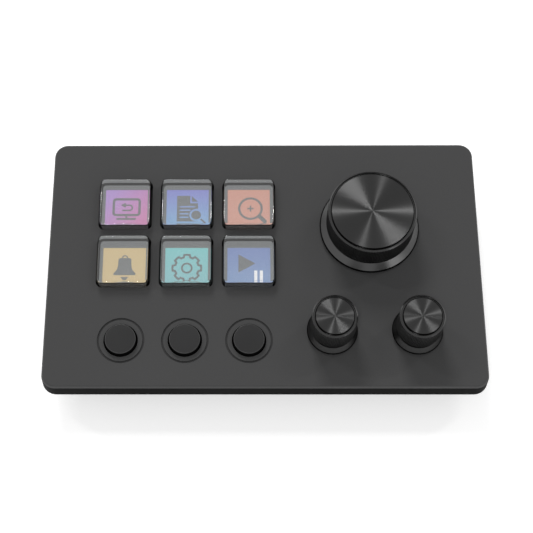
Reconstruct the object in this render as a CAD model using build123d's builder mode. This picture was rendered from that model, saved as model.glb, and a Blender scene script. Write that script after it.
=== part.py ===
from build123d import *
import os
from math import atan, degrees, pi

os.makedirs("parts", exist_ok=True)

# Macro keypad: six clear picture keys, three round buttons and three push dials on one deck.
# Lengths are in mm. X runs to the right, Y to the back, and Z up from the table.

# ---- Housing ----
housing_width = 131.4
housing_depth = 80.0
housing_corner = 4.0
deck_thickness = 2.0
deck_edge_round = 0.9
rim_height = 5.9  # deck's top face to the rim's lower edge
rim_thickness = 1.8
rim_flare = 0.4  # how far the rim leans out on its way down
rim_foot_round = 0.3
ledge_width = 1.5  # step inside the rim that the bottom cover closes against
ledge_depth = 1.8
cover_gap = 0.3  # bottom cover's flange inside the rim
flange_thickness = 1.8
base_inset = 4.5  # base tub's wall behind the rim
base_corner = 4.6
base_wall = 2.0
base_draft = 2.0  # degrees
base_foot_round = 1.5
floor_thickness = 1.8

# ---- Feet ----
foot_drop = 1.2  # how far a foot stands out of the floor
foot_sink = 0.6
foot_length = 18.0
foot_width = 6.0
foot_gap = 0.1
foot_side_inset = 25.7  # housing's sides to a foot's middle
foot_end_inset = 11.5

# ---- Screws that close the housing ----
boss_inset = 9.1  # housing's sides to a boss
boss_radius = 2.2
boss_bore = 1.0
boss_bore_depth = 8.0
cover_screw_length = 7.0
screw_head_radius = 1.9
screw_head_height = 0.8
screw_head_gap = 0.3
shank_gap = 0.05
shank_hole_gap = 0.3
drive_radius = 0.9  # hexagon socket
drive_depth = 0.5

# ---- Picture keys ----
key_spacing = 19.05
key_columns = 3
key_rows = 2
keys_left_margin = 23.0  # housing's left side to the first column's middle
keys_rear_margin = 21.2  # housing's rear side to the rear row's middle
key_web = 3.35  # between two caps
cap_corner = 1.5
cap_rise = 2.9
cap_draft = 2.0  # degrees
cap_edge_round = 0.4
cap_gap = 0.4
cap_flange_overlap = 0.6
cap_flange_thickness = 0.8
cap_flange_play = 0.05
key_travel = 0.8
collar_height = 1.05
lens_clearance = 0.2  # pressed lens above the display
collar_width = 0.8
well_gap = 0.2
well_wall = 1.0
mat_thickness = 0.4

# ---- Display under the keys ----
display_margin = 0.8
display_thickness = 1.8
tray_gap = 0.3
tray_wall = 1.0
tray_floor = 1.0
tray_leg_radius = 1.5
tray_leg_inset = 3.0
ribbon_width = 12.0
ribbon_thickness = 0.2
ribbon_reach = 3.8
ribbon_bend = 0.8
ribbon_slot_gap = 0.5
ribbon_socket_length = 3.0
ribbon_socket_height = 1.0

# ---- Main board ----
board_thickness = 1.6
board_clearance = 1.9  # floor to the board's lower face
board_gap = 1.6  # board's edge to the base wall
board_corner = 2.0
board_boss_gap = 0.5
board_post_radius = 2.4
board_screw_radius = 1.0
board_screw_head_radius = 1.9
board_screw_head_height = 1.1
board_screw_depth = 2.9
board_screw_inset = 3.0  # board's ends to a screw
board_screw_gap = 3.2  # display tray or ribbon socket to a screw
chip_size = 10.0
chip_height = 1.2
chip_edge_round = 0.12

# ---- Round buttons ----
button_count = 3
buttons_front_margin = 14.6  # housing's front side to a button's middle
button_radius = 4.74
button_gap = 0.38
button_rise = 1.5
button_edge_round = 0.35
button_top_thickness = 1.4
button_wall = 1.1
button_flange_overlap = 0.9
button_flange_thickness = 0.8
button_flange_play = 0.05
button_travel = 0.5
button_collar_gap = 0.3
button_collar_wall = 0.9
button_collar_grip = 0.5  # collar below the pressed flange
button_ring_width = 1.33  # deck between the button's hole and the groove
groove_width = 0.62
groove_depth = 0.35
stem_radius = 1.6
switch_size = 6.2
switch_corner = 0.3
switch_height = 3.4
switch_plunger_radius = 1.75
switch_bore_gap = 0.2
switch_bore_depth = 1.6
switch_plunger_sink = 0.9
switch_plunger_rise = 1.4
switch_leg_width = 0.7
switch_leg_reach = 1.0
switch_leg_thickness = 0.25
switch_leg_spacing = 4.5

# ---- Rotary encoders ----
encoder_size = 12.0
encoder_height = 7.5  # board to the deck, with the plate
encoder_corner = 0.6
encoder_plate_thickness = 0.5
encoder_plate_inset = 0.3
bushing_radius = 3.5
bushing_rise = 2.8  # above the deck
bushing_chamfer = 0.3
bushing_gap = 0.1
shaft_radius = 3.0
shaft_running_gap = 0.06
shaft_flat_depth = 1.5
shaft_fit_gap = 0.03
push_travel = 0.5
push_floor_gap = 0.1
push_plunger_radius = 2.3
push_plunger_gap = 0.3
push_plunger_height = 0.7
washer_radius = 5.0
washer_thickness = 0.5
nut_across_flats = 9.0
nut_thickness = 1.9
pin_radius = 0.4
pin_length = 1.3  # below the board
pin_hole_gap = 0.15
pin_row = 6.6  # encoder's middle to each row of pins
pin_spacing = 2.5

# ---- Dials ----
main_dial_shift = -2.2  # from the middle between the keys and the housing's right side
side_dials_shift = -1.8
side_dials_spacing = 25.2
main_dial_margin = 29.0  # housing's rear side to the main dial's middle
side_dials_margin = 17.4  # housing's front side to the side dials' middle
knob_lift = 0.8  # deck to a knob's skirt
skirt_edge = 0.3
skirt_round = 0.15
main_skirt_radius = 15.16
main_neck_radius = 12.9
main_cone_top = 3.1
main_grip_radius = 13.3
main_grip_base = 3.5
main_core_radius = 11.5
main_knob_top = 12.55
main_nut_room = 9.6
side_skirt_radius = 7.54
side_neck_radius = 6.25
side_cone_top = 2.8
side_grip_radius = 6.68
side_grip_base = 4.8
side_core_radius = 5.15
side_knob_top = 13.36
side_nut_room = 5.5
disc_thickness = 0.55
disc_edge_round = 0.12
disc_groove = 0.42
rim_chamfer = 0.4
rim_land = 0.1
rim_drop = 0.2  # the rim stays below the disc's face
flute_spacing = 0.47
flute_depth = 0.14
sleeve_fit_gap = 0.02
hub_wall = 1.6
hub_roof = 0.5  # above the bushing and its nut when the knob is pressed
shaft_cover = 1.6  # knob material above the shaft's end
core_wall = 1.7
core_ribs = 6
core_rib_width = 1.2

# ---- USB-C socket ----
usb_x = 0.0
usb_width = 8.94
usb_height = 3.26
usb_sheet = 0.3
usb_depth = 7.35
usb_back = 1.2
usb_tongue_width = 6.7
usb_tongue_thickness = 0.7
usb_tongue_length = 4.4
usb_sink = 0.6  # the socket's middle below the board's top face
usb_recess = 0.2
usb_wall_gap = 0.25
usb_board_gap = 0.2
usb_tab_length = 2.0
usb_tab_reach = 1.0

# ---- Heights and places that follow ----
floor_top = foot_drop + floor_thickness
board_foot = floor_top + board_clearance
board_top = board_foot + board_thickness
deck_underside = board_top + encoder_height
deck_height = deck_underside + deck_thickness
rim_foot = deck_height - rim_height
rim_lean = degrees(atan(rim_flare / rim_height))
cavity_width = housing_width - 2 * rim_thickness
cavity_depth = housing_depth - 2 * rim_thickness
cavity_corner = housing_corner - rim_thickness
flange_top = deck_underside - ledge_depth
flange_foot = flange_top - flange_thickness
base_width = housing_width - 2 * base_inset
base_depth = housing_depth - 2 * base_inset
board_width = base_width - 2 * base_wall - 2 * board_gap
board_depth = base_depth - 2 * base_wall - 2 * board_gap

cap_size = key_spacing - key_web
window_size = cap_size + 2 * cap_gap
cap_flange_size = window_size + 2 * cap_flange_overlap
well_size = cap_flange_size + 2 * well_gap
key_span_x = (key_columns - 1) * key_spacing
key_span_y = (key_rows - 1) * key_spacing
key_block_width = key_span_x + well_size + 2 * well_wall
key_block_depth = key_span_y + well_size + 2 * well_wall
keys_x = (key_span_x - housing_width) / 2 + keys_left_margin
keys_y = (housing_depth - key_span_y) / 2 - keys_rear_margin
key_grid = GridLocations(key_spacing, key_spacing, key_columns, key_rows)
key_places = [(keys_x + spot.position.X, keys_y + spot.position.Y) for spot in key_grid]
key_places.sort(key=lambda place: (-place[1], place[0]))
cap_flange_top = deck_underside - cap_flange_play
cap_flange_foot = cap_flange_top - cap_flange_thickness
mat_top = cap_flange_foot - collar_height
display_top = mat_top - mat_thickness
display_foot = display_top - display_thickness
lens_foot = display_top + lens_clearance + key_travel
display_width = key_span_x + cap_size + 2 * display_margin
display_depth = key_span_y + cap_size + 2 * display_margin
tray_width = display_width + 2 * (tray_gap + tray_wall)
tray_depth = display_depth + 2 * (tray_gap + tray_wall)
tray_foot = display_foot - tray_floor
tray_right = keys_x + tray_width / 2
tray_front = keys_y - tray_depth / 2
ribbon_start_x = keys_x + display_width / 2
ribbon_start_z = display_foot + display_thickness / 2
ribbon_fall_x = ribbon_start_x + ribbon_reach
ribbon_end_x = ribbon_fall_x + 2 * ribbon_bend
ribbon_end_z = board_top + ribbon_socket_height / 2
ribbon_socket_width = ribbon_width + 2 * ribbon_slot_gap

buttons_y = buttons_front_margin - housing_depth / 2
button_grid = GridLocations(key_spacing, 0, button_count, 1)
button_places = [(keys_x + spot.position.X, buttons_y) for spot in button_grid]
button_hole = button_radius + button_gap
button_flange = button_hole + button_flange_overlap
button_flange_top = deck_underside - button_flange_play
button_flange_foot = button_flange_top - button_flange_thickness
button_collar_foot = button_flange_foot - button_travel - button_collar_grip
groove_radius = button_hole + button_ring_width
switch_top = board_top + switch_height
stem_foot = switch_top + switch_plunger_rise

dials_middle = (keys_x + (key_span_x + cap_size + housing_width) / 2) / 2
main_dial_x = dials_middle + main_dial_shift
main_dial_y = housing_depth / 2 - main_dial_margin
left_dial_x = dials_middle + side_dials_shift - side_dials_spacing / 2
right_dial_x = left_dial_x + side_dials_spacing
side_dials_y = side_dials_margin - housing_depth / 2
dial_places = [(main_dial_x, main_dial_y), (left_dial_x, side_dials_y), (right_dial_x, side_dials_y)]
encoder_top = deck_underside - encoder_plate_thickness
shaft_bore = shaft_radius + shaft_running_gap
push_plunger_foot = board_top + push_floor_gap + push_travel
shaft_foot = push_plunger_foot + push_plunger_height
hub_foot = deck_height + bushing_rise + push_travel + hub_roof
socket_z = board_top - usb_sink
socket_mouth = base_depth / 2 - usb_recess
socket_back = socket_mouth - usb_depth

foot_x = housing_width / 2 - foot_side_inset
foot_y = housing_depth / 2 - foot_end_inset
foot_places = [(x, y) for x in (-foot_x, foot_x) for y in (-foot_y, foot_y)]
boss_x = housing_width / 2 - boss_inset
boss_y = housing_depth / 2 - boss_inset
rear_boss_x = boss_x / 2
front_boss_x = (button_places[-1][0] + left_dial_x) / 2
boss_places = [(x, y) for x in (-boss_x, boss_x) for y in (-boss_y, boss_y)]
boss_places += [(rear_boss_x, boss_y), (front_boss_x, -boss_y)]
board_screw_x = board_width / 2 - board_screw_inset
board_screw_places = [
    (-board_screw_x, keys_y),
    (board_screw_x, main_dial_y),
    (ribbon_end_x + ribbon_socket_length / 2, keys_y + ribbon_socket_width / 2 + board_screw_gap),
    (front_boss_x, tray_front - board_screw_gap),
]


def save(piece, name):
    piece.part.label = name
    export_step(piece.part, f"parts/{name}.step")


def level(height):
    """A level plane at a height above the table."""
    return Plane.XY.offset(height)


# ---- Top cover: deck, rim, key wells, button collars and screw bosses ----
with BuildPart() as top_cover:
    with BuildSketch(level(deck_height)):
        RectangleRounded(housing_width, housing_depth, housing_corner)
    extrude(amount=-rim_height, taper=-rim_lean)
    fillet(top_cover.faces().sort_by(Axis.Z)[-1].edges(), deck_edge_round)
    fillet(top_cover.faces().sort_by(Axis.Z)[0].edges(), rim_foot_round)
    with BuildSketch(level(flange_top)):
        RectangleRounded(cavity_width, cavity_depth, cavity_corner)
    extrude(amount=rim_foot - flange_top, mode=Mode.SUBTRACT)
    with BuildSketch(level(deck_underside)):
        RectangleRounded(cavity_width - 2 * ledge_width, cavity_depth - 2 * ledge_width, cavity_corner)
    extrude(amount=-ledge_depth, mode=Mode.SUBTRACT)
    with BuildSketch(level(deck_underside)):
        with Locations((keys_x, keys_y)):
            Rectangle(key_block_width, key_block_depth)
        with Locations(*key_places):
            RectangleRounded(well_size, well_size, cap_corner, mode=Mode.SUBTRACT)
    extrude(amount=mat_top - deck_underside)
    with BuildSketch(level(deck_underside)):
        with Locations(*button_places):
            Circle(button_flange + button_collar_gap + button_collar_wall)
            Circle(button_flange + button_collar_gap, mode=Mode.SUBTRACT)
    extrude(amount=button_collar_foot - deck_underside)
    with BuildSketch(level(deck_underside)):
        with Locations(*boss_places):
            Circle(boss_radius)
    extrude(amount=floor_top - deck_underside)
    with BuildSketch(level(floor_top)):
        with Locations(*boss_places):
            Circle(boss_bore)
    extrude(amount=boss_bore_depth, mode=Mode.SUBTRACT)
    with BuildSketch(level(deck_height)):
        with Locations(*key_places):
            RectangleRounded(window_size, window_size, cap_corner + cap_gap)
        with Locations(*button_places):
            Circle(button_hole)
        with Locations(*dial_places):
            Circle(bushing_radius + bushing_gap)
    extrude(amount=-deck_thickness, mode=Mode.SUBTRACT)
    with BuildSketch(level(deck_height)):
        with Locations(*button_places):
            Circle(groove_radius + groove_width)
            Circle(groove_radius, mode=Mode.SUBTRACT)
    extrude(amount=-groove_depth, mode=Mode.SUBTRACT)
save(top_cover, "top_cover")

# ---- Bottom cover: flange inside the rim, base tub, board posts and socket opening ----
with BuildPart() as bottom_cover:
    with BuildSketch(level(flange_foot)):
        RectangleRounded(base_width, base_depth, base_corner)
    extrude(amount=foot_drop - flange_foot, taper=base_draft)
    fillet(bottom_cover.faces().sort_by(Axis.Z)[0].edges(), base_foot_round)
    with BuildSketch(level(flange_foot)):
        RectangleRounded(cavity_width - 2 * cover_gap, cavity_depth - 2 * cover_gap, cavity_corner)
    extrude(amount=flange_thickness)
    with BuildSketch(level(flange_foot)):
        RectangleRounded(base_width - 2 * base_wall, base_depth - 2 * base_wall, base_corner - base_wall)
    extrude(amount=flange_thickness, mode=Mode.SUBTRACT)
    with BuildSketch(level(flange_foot)):
        RectangleRounded(base_width - 2 * base_wall, base_depth - 2 * base_wall, base_corner - base_wall)
    extrude(amount=floor_top - flange_foot, taper=base_draft, mode=Mode.SUBTRACT)
    with BuildSketch(level(floor_top)):
        with Locations(*board_screw_places):
            Circle(board_post_radius)
    extrude(amount=board_clearance)
    with BuildSketch(level(board_foot)):
        with Locations(*board_screw_places):
            Circle(board_screw_radius + shank_gap)
    extrude(amount=-board_screw_depth, mode=Mode.SUBTRACT)
    with Locations(*[Plane(origin=(x, y, foot_drop), z_dir=(0, 0, -1)) for x, y in boss_places]):
        CounterBoreHole(
            radius=boss_bore + shank_hole_gap,
            counter_bore_radius=screw_head_radius + screw_head_gap,
            counter_bore_depth=screw_head_height + shank_gap,
            depth=floor_thickness,
        )
    with BuildSketch(level(foot_drop)):
        with Locations(*foot_places):
            SlotOverall(foot_length + 2 * foot_gap, foot_width + 2 * foot_gap)
    extrude(amount=foot_sink, mode=Mode.SUBTRACT)
    with BuildSketch(Plane.XZ.offset(-base_depth / 2)):
        with Locations((usb_x, socket_z)):
            SlotOverall(usb_width + 2 * usb_wall_gap, usb_height + 2 * usb_wall_gap)
    extrude(amount=2 * base_wall, mode=Mode.SUBTRACT)
save(bottom_cover, "bottom_cover")

# ---- Rubber feet ----
with BuildPart() as rubber_feet:
    with BuildSketch():
        with Locations(*foot_places):
            SlotOverall(foot_length, foot_width)
    extrude(amount=foot_drop + foot_sink)
save(rubber_feet, "rubber_feet")

# ---- Housing screws, from below ----
screw_head_foot = foot_drop + shank_gap
with BuildPart() as cover_screws:
    with BuildSketch(level(screw_head_foot)):
        with Locations(*boss_places):
            Circle(screw_head_radius)
    extrude(amount=screw_head_height)
    with BuildSketch(level(screw_head_foot + screw_head_height)):
        with Locations(*boss_places):
            Circle(boss_bore - shank_gap)
    extrude(amount=cover_screw_length)
    with BuildSketch(level(screw_head_foot)):
        with Locations(*boss_places):
            RegularPolygon(drive_radius, 6)
    extrude(amount=drive_depth, mode=Mode.SUBTRACT)
save(cover_screws, "cover_screws")

# ---- Picture keys: clear block with a flange under the deck, and the silicone collar that lifts it ----
for number, place in enumerate(key_places, start=1):
    with BuildPart() as key_cap:
        with BuildSketch(level(deck_height)):
            with Locations(place):
                RectangleRounded(cap_size, cap_size, cap_corner)
        extrude(amount=cap_rise, taper=cap_draft)
        fillet(key_cap.faces().sort_by(Axis.Z)[-1].edges(), cap_edge_round)
        with BuildSketch(level(deck_height)):
            with Locations(place):
                RectangleRounded(cap_size, cap_size, cap_corner)
        extrude(amount=lens_foot - deck_height)
        with BuildSketch(level(cap_flange_foot)):
            with Locations(place):
                RectangleRounded(cap_flange_size, cap_flange_size, cap_corner)
        extrude(amount=cap_flange_thickness)
    save(key_cap, f"key_cap_{number}")

    with BuildPart() as key_collar:
        with BuildSketch(level(mat_top)):
            with Locations(place):
                RectangleRounded(cap_flange_size, cap_flange_size, cap_corner)
                RectangleRounded(
                    cap_flange_size - 2 * collar_width,
                    cap_flange_size - 2 * collar_width,
                    cap_corner,
                    mode=Mode.SUBTRACT,
                )
        extrude(amount=collar_height)
    save(key_collar, f"key_collar_{number}")

# ---- Contact mat under the collars ----
with BuildPart() as key_mat:
    with BuildSketch(level(display_top)):
        with Locations((keys_x, keys_y)):
            Rectangle(tray_width, tray_depth)
        with Locations(*key_places):
            RectangleRounded(window_size, window_size, cap_corner, mode=Mode.SUBTRACT)
    extrude(amount=mat_thickness)
save(key_mat, "key_mat")

# ---- Display panel ----
with BuildPart() as display_panel:
    with BuildSketch(level(display_foot)):
        with Locations((keys_x, keys_y)):
            Rectangle(display_width, display_depth)
    extrude(amount=display_thickness)
save(display_panel, "display_panel")

# ---- Display tray: walls round the panel, four legs on the board, a slot for the ribbon ----
with BuildPart() as display_tray:
    with BuildSketch(level(tray_foot)):
        with Locations((keys_x, keys_y)):
            Rectangle(tray_width, tray_depth)
    extrude(amount=display_top - tray_foot)
    with BuildSketch(level(display_foot)):
        with Locations((keys_x, keys_y)):
            Rectangle(display_width + 2 * tray_gap, display_depth + 2 * tray_gap)
    extrude(amount=display_thickness, mode=Mode.SUBTRACT)
    with BuildSketch(level(display_foot)):
        with Locations((tray_right, keys_y)):
            Rectangle(2 * (tray_gap + tray_wall), ribbon_socket_width)
    extrude(amount=display_thickness, mode=Mode.SUBTRACT)
    with BuildSketch(level(board_top)):
        with Locations((keys_x, keys_y)):
            with GridLocations(tray_width - 2 * tray_leg_inset, tray_depth - 2 * tray_leg_inset, 2, 2):
                Circle(tray_leg_radius)
    extrude(amount=tray_foot - board_top)
save(display_tray, "display_tray")

# ---- Display ribbon and its socket on the board ----
with BuildPart() as display_ribbon:
    with BuildSketch(Plane.XZ.offset(-keys_y)):
        with BuildLine() as ribbon_path:
            FilletPolyline(
                (ribbon_start_x, ribbon_start_z),
                (ribbon_fall_x, ribbon_start_z),
                (ribbon_fall_x, ribbon_end_z),
                (ribbon_end_x, ribbon_end_z),
                radius=ribbon_bend,
            )
        trace(line_width=ribbon_thickness)
    extrude(amount=ribbon_width / 2, both=True)
save(display_ribbon, "display_ribbon")

with BuildPart() as ribbon_socket:
    with BuildSketch(level(board_top)):
        with Locations((ribbon_end_x + ribbon_socket_length / 2, keys_y)):
            Rectangle(ribbon_socket_length, ribbon_socket_width)
    extrude(amount=ribbon_socket_height)
save(ribbon_socket, "ribbon_socket")

# ---- Dials: where each stands and the sizes of its knob ----
dials = {
    "main": dict(
        place=(main_dial_x, main_dial_y),
        skirt=main_skirt_radius,
        neck=main_neck_radius,
        cone_top=main_cone_top,
        grip=main_grip_radius,
        grip_base=main_grip_base,
        core=main_core_radius,
        top=main_knob_top,
        nut_room=main_nut_room,
    ),
    "left": dict(place=(left_dial_x, side_dials_y)),
    "right": dict(place=(right_dial_x, side_dials_y)),
}
for side in ("left", "right"):
    dials[side].update(
        skirt=side_skirt_radius,
        neck=side_neck_radius,
        cone_top=side_cone_top,
        grip=side_grip_radius,
        grip_base=side_grip_base,
        core=side_core_radius,
        top=side_knob_top,
        nut_room=side_nut_room,
    )
pin_offsets = [(-pin_spacing, -pin_row), (0, -pin_row), (pin_spacing, -pin_row)]
pin_offsets += [(-pin_spacing, pin_row), (pin_spacing, pin_row)]

# ---- Main board ----
with BuildPart() as main_board:
    with BuildSketch(level(board_foot)):
        RectangleRounded(board_width, board_depth, board_corner)
        with Locations(*boss_places):
            Circle(boss_radius + board_boss_gap, mode=Mode.SUBTRACT)
        with Locations(*board_screw_places):
            Circle(board_screw_radius + shank_gap, mode=Mode.SUBTRACT)
        with Locations(*[(x + dx, y + dy) for x, y in dial_places for dx, dy in pin_offsets]):
            Circle(pin_radius + pin_hole_gap, mode=Mode.SUBTRACT)
        with Locations((usb_x, socket_back - usb_board_gap)):
            Rectangle(
                usb_width + 2 * usb_board_gap,
                usb_depth + usb_board_gap,
                align=(Align.CENTER, Align.MIN),
                mode=Mode.SUBTRACT,
            )
    extrude(amount=board_thickness)
save(main_board, "main_board")

with BuildPart() as board_screws:
    with BuildSketch(level(board_top)):
        with Locations(*board_screw_places):
            Circle(board_screw_head_radius)
    extrude(amount=board_screw_head_height)
    with BuildSketch(level(board_top)):
        with Locations(*board_screw_places):
            Circle(board_screw_radius)
    extrude(amount=-board_thickness - board_screw_depth + shank_gap)
    with BuildSketch(level(board_top + board_screw_head_height)):
        with Locations(*board_screw_places):
            RegularPolygon(drive_radius, 6)
    extrude(amount=-drive_depth, mode=Mode.SUBTRACT)
save(board_screws, "board_screws")

with BuildPart() as controller_chip:
    with BuildSketch(level(board_top)):
        with Locations((keys_x, keys_y)):
            Rectangle(chip_size, chip_size)
    extrude(amount=chip_height)
    chamfer(controller_chip.faces().sort_by(Axis.Z)[-1].edges(), chip_edge_round)
save(controller_chip, "controller_chip")

# ---- USB-C socket, let into the board's rear edge ----
with BuildPart() as usb_shell:
    with BuildSketch(Plane.XZ.offset(-socket_mouth)):
        with Locations((usb_x, socket_z)):
            SlotOverall(usb_width, usb_height)
            SlotOverall(usb_width - 2 * usb_sheet, usb_height - 2 * usb_sheet, mode=Mode.SUBTRACT)
    extrude(amount=usb_depth)
    with BuildSketch(level(board_top)):
        with Locations((usb_x, socket_back + usb_depth / 2)):
            with GridLocations(usb_width + usb_tab_reach - usb_sheet, 0, 2, 1):
                Rectangle(usb_tab_reach + usb_sheet, usb_tab_length)
    extrude(amount=usb_sheet)
save(usb_shell, "usb_shell")

with BuildPart() as usb_tongue:
    with BuildSketch(Plane.XZ.offset(-socket_back)):
        with Locations((usb_x, socket_z)):
            SlotOverall(usb_width - 2 * usb_sheet, usb_height - 2 * usb_sheet)
    extrude(amount=-usb_back)
    with BuildSketch(Plane.XZ.offset(-socket_back - usb_back)):
        with Locations((usb_x, socket_z)):
            Rectangle(usb_tongue_width, usb_tongue_thickness)
    extrude(amount=-usb_tongue_length)
save(usb_tongue, "usb_tongue")

# ---- Round buttons, each over a long-travel tact switch ----
for number, place in enumerate(button_places, start=1):
    button_axis = Plane(origin=(place[0], place[1], 0), x_dir=(1, 0, 0), z_dir=(0, -1, 0))
    cavity_top = deck_height + button_rise - button_top_thickness
    with BuildPart() as button_cap:
        with BuildSketch(button_axis):
            with BuildLine():
                Polyline(
                    (0, stem_foot),
                    (stem_radius, stem_foot),
                    (stem_radius, cavity_top),
                    (button_radius - button_wall, cavity_top),
                    (button_radius - button_wall, button_flange_foot),
                    (button_flange, button_flange_foot),
                    (button_flange, button_flange_top),
                    (button_radius, button_flange_top),
                    (button_radius, deck_height + button_rise),
                    (0, deck_height + button_rise),
                    close=True,
                )
            make_face()
        revolve(axis=Axis((place[0], place[1], 0), (0, 0, 1)))
        fillet(button_cap.faces().sort_by(Axis.Z)[-1].edges(), button_edge_round)
    save(button_cap, f"button_cap_{number}")

    with BuildPart() as tact_switch:
        with BuildSketch(level(board_top)):
            with Locations(place):
                RectangleRounded(switch_size, switch_size, switch_corner)
        extrude(amount=switch_height)
        with BuildSketch(level(switch_top)):
            with Locations(place):
                Circle(switch_plunger_radius + switch_bore_gap)
        extrude(amount=-switch_bore_depth, mode=Mode.SUBTRACT)
        with BuildSketch(level(board_top)):
            with Locations(place):
                with GridLocations(0, switch_leg_spacing, 1, 2):
                    Rectangle(switch_size + 2 * switch_leg_reach, switch_leg_width)
        extrude(amount=switch_leg_thickness)
    save(tact_switch, f"tact_switch_{number}")

    with BuildPart() as tact_plunger:
        with BuildSketch(level(switch_top - switch_plunger_sink)):
            with Locations(place):
                Circle(switch_plunger_radius)
        extrude(amount=switch_plunger_sink + switch_plunger_rise)
    save(tact_plunger, f"tact_plunger_{number}")

# ---- Rotary encoders: plastic body, threaded bushing, shaft and push plunger ----
for side, dial in dials.items():
    with BuildPart() as encoder_body:
        with BuildSketch(level(board_top)):
            with Locations(dial["place"]):
                RectangleRounded(encoder_size, encoder_size, encoder_corner)
                Circle(push_plunger_radius + push_plunger_gap, mode=Mode.SUBTRACT)
        extrude(amount=encoder_top - board_top)
        with BuildSketch(level(shaft_foot - push_travel)):
            with Locations(dial["place"]):
                Circle(shaft_bore)
        extrude(amount=encoder_top - shaft_foot + push_travel, mode=Mode.SUBTRACT)
        with BuildSketch(level(board_top)):
            with Locations(dial["place"]):
                with Locations(*pin_offsets):
                    Rectangle(2 * pin_radius, 2 * (pin_row - encoder_size / 2 + pin_radius))
        extrude(amount=encoder_plate_thickness)
        with BuildSketch(level(board_top + encoder_plate_thickness)):
            with Locations(dial["place"]):
                with Locations(*pin_offsets):
                    Circle(pin_radius)
        extrude(amount=-encoder_plate_thickness - board_thickness - pin_length)
    save(encoder_body, f"encoder_body_{side}")

    with BuildPart() as encoder_bushing:
        with BuildSketch(level(encoder_top)):
            with Locations(dial["place"]):
                Rectangle(encoder_size - 2 * encoder_plate_inset, encoder_size - 2 * encoder_plate_inset)
        extrude(amount=encoder_plate_thickness)
        with BuildSketch(level(deck_underside)):
            with Locations(dial["place"]):
                Circle(bushing_radius)
        extrude(amount=deck_thickness + bushing_rise)
        chamfer(encoder_bushing.faces().sort_by(Axis.Z)[-1].edges(), bushing_chamfer)
        with BuildSketch(level(encoder_top)):
            with Locations(dial["place"]):
                Circle(shaft_bore)
        extrude(amount=encoder_plate_thickness + deck_thickness + bushing_rise, mode=Mode.SUBTRACT)
    save(encoder_bushing, f"encoder_bushing_{side}")

    shaft_top = deck_height + dial["top"] - disc_thickness - shaft_cover
    with BuildPart() as encoder_shaft:
        with BuildSketch(level(shaft_foot)):
            with Locations(dial["place"]):
                Circle(shaft_radius)
        extrude(amount=shaft_top - shaft_foot)
        with BuildSketch(level(hub_foot)):
            with Locations((dial["place"][0], dial["place"][1] + shaft_radius - shaft_flat_depth)):
                Rectangle(2 * shaft_radius, shaft_radius, align=(Align.CENTER, Align.MIN))
        extrude(amount=shaft_top - hub_foot, mode=Mode.SUBTRACT)
    save(encoder_shaft, f"encoder_shaft_{side}")

    with BuildPart() as push_plunger:
        with BuildSketch(level(push_plunger_foot)):
            with Locations(dial["place"]):
                Circle(push_plunger_radius)
        extrude(amount=push_plunger_height)
    save(push_plunger, f"push_plunger_{side}")

# ---- Washers and nuts that clamp the encoders to the deck ----
with BuildPart() as encoder_washers:
    with BuildSketch(level(deck_height)):
        with Locations(*dial_places):
            Circle(washer_radius)
            Circle(bushing_radius + bushing_gap, mode=Mode.SUBTRACT)
    extrude(amount=washer_thickness)
save(encoder_washers, "encoder_washers")

with BuildPart() as encoder_nuts:
    with BuildSketch(level(deck_height + washer_thickness)):
        with Locations(*dial_places):
            RegularPolygon(nut_across_flats / 2, 6, major_radius=False)
            Circle(bushing_radius + bushing_gap, mode=Mode.SUBTRACT)
    extrude(amount=nut_thickness)
save(encoder_nuts, "encoder_nuts")

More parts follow.
